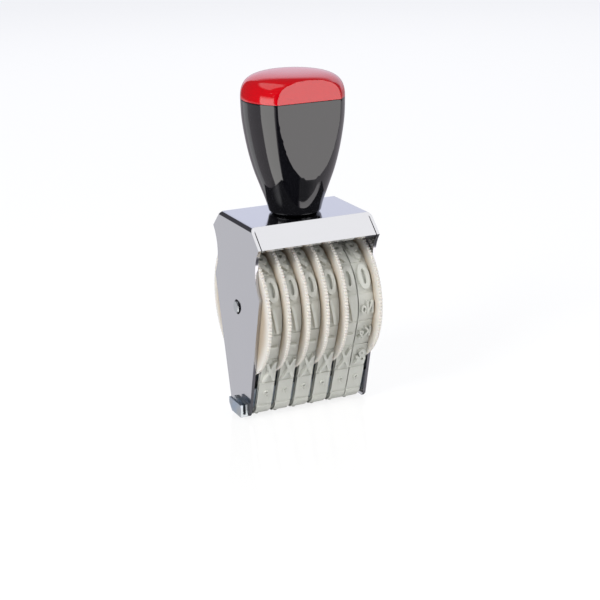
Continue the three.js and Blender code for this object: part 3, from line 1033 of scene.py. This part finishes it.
class STAMP_OT_cap(StampOperator):
    """Build the red cap with its spigot, cut by the grip's flats"""

    bl_idname = "stamp.cap"
    bl_label = "Cap"

    def build(self, settings):
        sizes = settings.handle
        crown = bezier(
            (HANDLE_RADIUS, CAP_Z),
            (HANDLE_RADIUS, CAP_Z + sizes.shoulder),
            (sizes.crown_radius, PEAK_Z),
            (0.0, PEAK_Z),
            CROWN_STEPS,
        )
        profile = [
            (0.0, CAP_Z - sizes.spigot_length),
            (sizes.spigot, CAP_Z - sizes.spigot_length),
            (sizes.spigot, CAP_Z),
            *crown,
        ]
        piece = turned("cap_shell", profile, HANDLE_STEPS, closed=False)
        cut_flats(piece, sizes.flat)
        rounded_edges(piece, sizes.edge, 14.0)
        smooth(piece, 30.0)
        material = gloss_finish("red_plastic", settings.colours.red)
        finish(piece, material, "stamp_body", "handle_cap")


class STAMP_OT_fixings(StampOperator):
    """Build the screw, its washer and the threaded insert that hold the handle"""

    bl_idname = "stamp.fixings"
    bl_label = "Fixings"

    def build(self, settings):
        zinc = bpy.data.materials.get("zinc_plate") or zinc_finish(settings.colours)
        brass = turned_finish("brass", settings.colours.brass)
        screw = refined("grip_screw", "handle_screw", SOFT_EDGE)
        finish(screw, zinc, "stamp_body", "handle_screw")
        washer = self.ring("grip_washer", "handle_washer", 0.15 * MM)
        finish(washer, zinc, "stamp_body", "handle_washer")
        insert = self.ring("grip_insert", "handle_insert", 0.3 * MM)
        finish(insert, brass, "stamp_body", "handle_insert")

    def ring(self, name, node, edge):
        """A turned ring with the height and outside of a CAD node, round the screw."""
        low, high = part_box(node)
        outline = [
            (SCREW_HOLE, low.z),
            (high.x, low.z),
            (high.x, high.z),
            (SCREW_HOLE, high.z),
        ]
        piece = turned(name, eased_corners(outline, edge), SMALL_STEPS)
        smooth(piece)
        return piece


# Stage: floor, surroundings, lamps and camera.

CAMERA_AZIMUTH = -24.6
CAMERA_ELEVATION = 16.13
CAMERA_ROLL = -1.2
CAMERA_DISTANCE = 0.5336
CAMERA_TARGET = Vector((0.0, 0.0, 0.0515))
CAMERA_LENS = 96.78
CAMERA_SHIFT = (0.0068, -0.0708)


def direction(azimuth, elevation):
    """The way from the stamp's middle to a place round it; azimuth 0 is the front, 90 the right."""
    a, e = math.radians(azimuth), math.radians(elevation)
    return Vector((math.sin(a) * math.cos(e), -math.cos(a) * math.cos(e), math.sin(e)))


class STAMP_OT_stage(StampOperator):
    """Build the pale floor, the soft lamps, the surroundings and the camera"""

    bl_idname = "stamp.stage"
    bl_label = "Stage"

    def build(self, settings):
        self.camera()
        self.floor(settings.colours)
        self.lamp("key_lamp", -66.0, 30.0, 0.9, 0.3, 4.8)
        self.lamp("fill_lamp", 25.0, 30.0, 0.9, 0.5, 2.4)
        self.lamp("back_lamp", 160.0, 35.0, 0.9, 0.7, 2.0)
        self.surroundings()
        bpy.context.scene.view_settings.view_transform = "Standard"

    def camera(self):
        back = direction(CAMERA_AZIMUTH, CAMERA_ELEVATION)
        turn = (-back).to_track_quat("-Z", "Y").to_matrix().to_4x4()
        turn = turn @ Matrix.Rotation(math.radians(CAMERA_ROLL), 4, "Z")
        bpy.ops.object.camera_add()
        camera = bpy.context.object
        camera.name = "camera"
        place = CAMERA_TARGET + back * CAMERA_DISTANCE
        camera.matrix_world = Matrix.Translation(place) @ turn
        camera.data.sensor_width = 36.0
        camera.data.lens = CAMERA_LENS
        camera.data.shift_x, camera.data.shift_y = CAMERA_SHIFT
        camera.data.clip_start = 0.01
        bpy.context.scene.camera = camera

    def floor(self, colours):
        bpy.ops.object.select_all(action="DESELECT")
        bpy.ops.mesh.primitive_plane_add(size=8.0)
        floor = bpy.context.object
        floor.name = "floor"
        floor.visible_glossy = False
        material = bpy.data.materials.new("floor_paint")
        nodes = Nodes(material)
        seen = nodes.out("ShaderNodeLightPath", "Is Camera Ray")
        paint = nodes.out(
            "ShaderNodeBsdfDiffuse", 0, None, {"Color": (*colours.floor, 1.0)}
        )
        glow = nodes.out(
            "ShaderNodeEmission", 0, None, {"Color": (1.0, 1.0, 1.0, 1.0), "Strength": 1.12}
        )
        lit = nodes.out(
            "ShaderNodeMixShader", 0, None, {0: seen * 0.78, 1: paint, 2: glow}
        )
        gloss = nodes.out("ShaderNodeBsdfGlossy", 0, None, {"Roughness": 0.04})
        share = nodes.out("ShaderNodeFresnel", "Fac", None, {"IOR": 1.3})
        nodes.surface("ShaderNodeMixShader", {0: share * 0.6, 1: lit, 2: gloss})
        floor.data.materials.append(material)

    def lamp(self, name, azimuth, elevation, distance, size, power):
        bpy.ops.object.light_add(type="AREA")
        lamp = bpy.context.object
        lamp.name = name
        back = direction(azimuth, elevation)
        lamp.location = CAMERA_TARGET + back * distance
        lamp.rotation_euler = back.to_track_quat("Z", "Y").to_euler()
        lamp.data.size = size
        lamp.data.energy = power
        lamp.visible_glossy = False
        lamp.visible_camera = False

    def surroundings(self):
        world = bpy.data.worlds.new("studio")
        bpy.context.scene.world = world
        nodes = Nodes(world)
        around = nodes.out("ShaderNodeTexCoord", "Generated")
        way = nodes.add("ShaderNodeSeparateXYZ", None, {"Vector": around})
        x, y, z = (Socket(nodes, way.outputs[axis]) for axis in range(3))
        left = (0 - x).math("ARCTAN2", 0 - x, 0 - y) * math.degrees(1)
        rise = z.math("ARCSINE", z) * math.degrees(1)
        shade = nodes.out(
            "ShaderNodeValToRGB",
            "Color",
            {
                "stops": [
                    (0.0, (0.1, 0.1, 0.11)),
                    (0.22, (0.12, 0.12, 0.13)),
                    (0.27, (0.42, 0.4, 0.43)),
                    (0.47, (0.46, 0.43, 0.47)),
                    (0.52, (0.9, 0.93, 1.09)),
                    (0.66, (0.92, 0.95, 1.11)),
                    (0.72, (0.1, 0.1, 0.11)),
                    (1.0, (0.08, 0.08, 0.09)),
                ]
            },
            {"Fac": rise / 180.0 + 0.5},
        )
        low_side = rise.window(-40.0, -1.0, 4.0)
        side_box = left.window(67.0, 99.0, 2.0) * rise.window(-60.0, 0.0, 14.0)
        front_box = left.window(-48.0, -2.0, 4.0) * low_side
        cheek_box = left.window(146.0, 165.0, 5.0) * low_side
        gap = left.window(6.0, 62.0, 3.0) * rise.window(-60.0, 30.0, 8.0)
        dark_wall = left.window(-108.0, 176.0, 10.0) * rise.window(-7.0, 45.0, 4.0)
        front_roof = left.window(-90.0, -36.0, 8.0) * rise.window(52.0, 72.0, 5.0)
        back_roof = left.window(95.0, 160.0, 12.0) * rise.window(48.0, 75.0, 7.0)
        studio = nodes.blend(cheek_box, shade, (0.78, 0.78, 0.81))
        studio = nodes.blend(dark_wall, studio, (0.08, 0.08, 0.09))
        studio = nodes.blend(front_roof, studio, (1.45, 1.45, 1.44))
        studio = nodes.blend(back_roof * 0.6, studio, (1.5, 1.52, 1.52))
        studio = nodes.blend(side_box, studio, (2.1, 2.08, 2.04))
        studio = nodes.blend(front_box, studio, (1.85, 1.8, 1.8))
        studio = nodes.blend(gap, studio, (0.02, 0.02, 0.03))
        rays = nodes.add("ShaderNodeLightPath")
        glossy = Socket(nodes, rays.outputs["Is Glossy Ray"])
        seen = Socket(nodes, rays.outputs["Is Camera Ray"])
        light = nodes.blend(glossy, (0.31, 0.31, 0.312), studio)
        final = nodes.blend(seen, light, (1.0, 1.0, 1.0))
        background = nodes.add("ShaderNodeBackground", None, {"Color": final, "Strength": 1.0})
        nodes.add("ShaderNodeOutputWorld", None, {"Surface": background.outputs[0]})


class STAMP_PT_panel(bpy.types.Panel):
    """Lists the operators that build the stamp, and its sizes and colours"""

    bl_idname = "STAMP_PT_panel"
    bl_label = "Numbering stamp"
    bl_space_type = "VIEW_3D"
    bl_region_type = "UI"
    bl_category = "Stamp"

    def draw(self, context):
        for kind in OPERATORS:
            self.layout.operator(kind.bl_idname)
        settings = context.scene.stamp
        for group in (settings.wheel, settings.band, settings.handle, settings.colours):
            box = self.layout.box()
            for name in group.bl_rna.properties.keys():
                if name not in ("rna_type", "name"):
                    box.prop(group, name)


OPERATORS = (
    STAMP_OT_stage,
    STAMP_OT_frame,
    STAMP_OT_bridge,
    STAMP_OT_axle,
    STAMP_OT_wheels,
    STAMP_OT_bands,
    STAMP_OT_grip,
    STAMP_OT_cap,
    STAMP_OT_fixings,
)
SETTING_GROUPS = (
    StampWheelSizes,
    StampBandSizes,
    StampHandleSizes,
    StampColours,
    StampSettings,
)
CLASSES = (*SETTING_GROUPS, *OPERATORS, STAMP_PT_panel)


def register():
    for kind in CLASSES:
        bpy.utils.register_class(kind)
    bpy.types.Scene.stamp = bpy.props.PointerProperty(
        type=StampSettings, name="Stamp", description="Sizes and colours of the numbering stamp"
    )


def unregister():
    del bpy.types.Scene.stamp
    for kind in reversed(CLASSES):
        bpy.utils.unregister_class(kind)


def main():
    register()
    bpy.ops.object.select_all(action="DESELECT")
    for kind in OPERATORS:
        group, name = kind.bl_idname.split(".")
        getattr(getattr(bpy.ops, group), name)()


if __name__ == "__main__":
    main()
